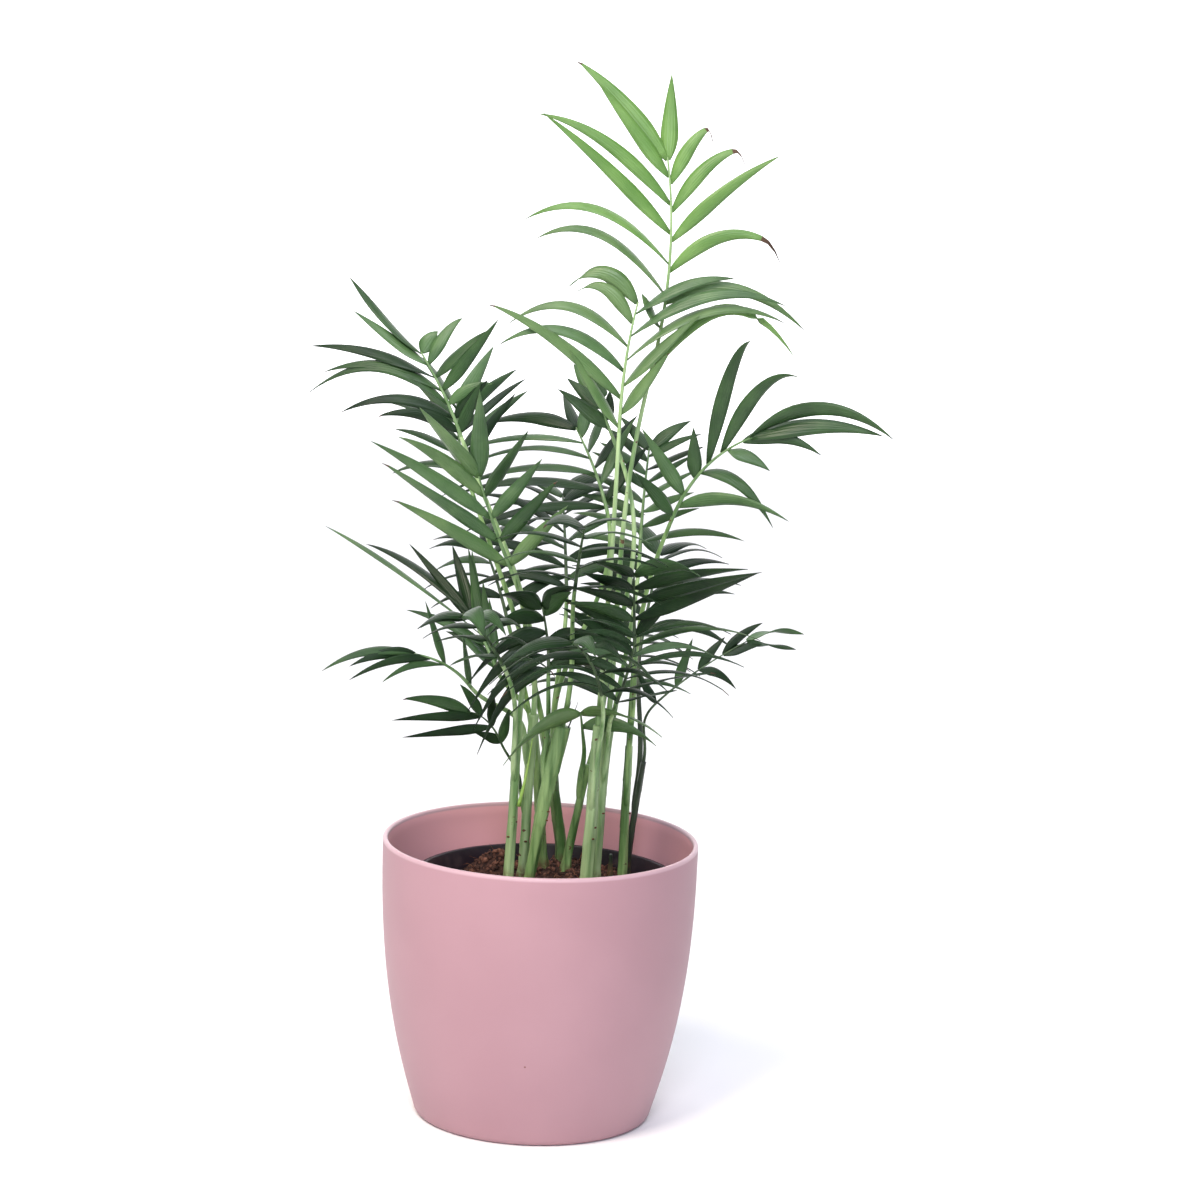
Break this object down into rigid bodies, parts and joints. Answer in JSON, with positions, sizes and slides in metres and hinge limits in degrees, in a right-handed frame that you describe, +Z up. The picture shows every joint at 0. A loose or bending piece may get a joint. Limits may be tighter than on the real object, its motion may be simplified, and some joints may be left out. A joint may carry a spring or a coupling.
{
  "type": "potted parlour palm",
  "caption": "Young parlour palm clump with arching feather fronds on thin green stems, in a black nursery pot stood in a pink cover pot.",
  "frame": {"origin": "centre of the cover pot's flat underside, on the surface it stands on", "axes": "+Z up along the pot's axis, front of the plant towards -Y, +X to the right seen from the front"},
  "size_m": [0.2927, 0.2659, 0.5368],
  "materials": {
    "cover_pot": "satin",
    "nursery_pot": "satin",
    "soil": "crumbly",
    "stem": "smooth",
    "young_frond": "satin",
    "frond": "satin"
  },
  "bodies": {
    "root": {"cover_pot": "cover_pot", "nursery_pot": "nursery_pot", "soil": "soil", "stem_a": "stem", "stem_b": "stem", "stem_c": "stem", "stem_d": "stem", "stem_e": "stem", "stem_f": "stem", "stem_g": "stem", "stem_h": "stem", "stem_i": "stem", "stem_j": "stem", "stem_stub": "stem", "frond_crown": "young_frond", "frond_second": "frond", "frond_right_high": "frond", "frond_left_high": "frond", "frond_left_front": "frond", "frond_second_left": "frond", "frond_middle_back": "frond", "frond_middle_high": "frond", "frond_right_mid": "frond", "frond_right_low": "frond", "frond_right_dark": "frond", "frond_ladder": "frond", "frond_left_low": "frond", "frond_left_mid": "frond", "frond_left_hang": "frond", "frond_left_foot": "frond", "frond_middle_left": "frond", "frond_middle_front": "frond", "frond_middle_low": "frond", "frond_front_low": "frond", "frond_back_left": "frond", "frond_back_middle": "frond", "frond_back_right": "frond", "frond_back_low": "frond"}
  },
  "joints": []
}
